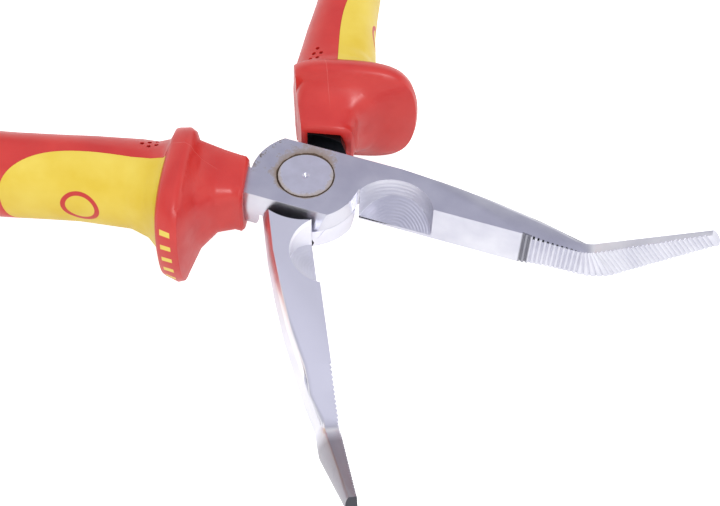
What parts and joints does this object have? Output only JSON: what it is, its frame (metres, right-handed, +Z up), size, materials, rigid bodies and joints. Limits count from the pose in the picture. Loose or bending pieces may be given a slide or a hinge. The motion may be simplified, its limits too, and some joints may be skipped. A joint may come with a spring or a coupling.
{
  "type": "bent needle nose pliers",
  "caption": "Bent long-nose pliers, open, with toothed jaws, a side cutter and two-colour insulated grips with hand guards.",
  "frame": {"origin": "where the pivot axis meets the underside of the joint", "axes": "+X from the pivot towards the jaws, halfway between them; +Y towards the upper lever's jaw; +Z up through the joint, the way the jaw tips bend"},
  "size_m": [0.1597, 0.171, 0.0314],
  "materials": {
    "steel": "fine ground, satin, lightly worn",
    "rivet_steel": "flush ground, slightly tarnished",
    "yellow_layer": "moulded, soft sheen",
    "red_layer": "moulded, satin gloss"
  },
  "bodies": {
    "upper": {"upper_lever": "steel", "pivot_rivet": "rivet_steel", "upper_grip_core": "yellow_layer", "upper_grip_shell": "red_layer"},
    "lower": {"lower_lever": "steel", "lower_grip_core": "yellow_layer", "lower_grip_shell": "red_layer"}
  },
  "joints": [
    {"name": "pivot", "type": "hinge", "parent": "upper", "child": "lower", "pos_m": [0, 0, 0], "axis": [0, 0, 1], "range_deg": [-5, 64]}
  ]
}
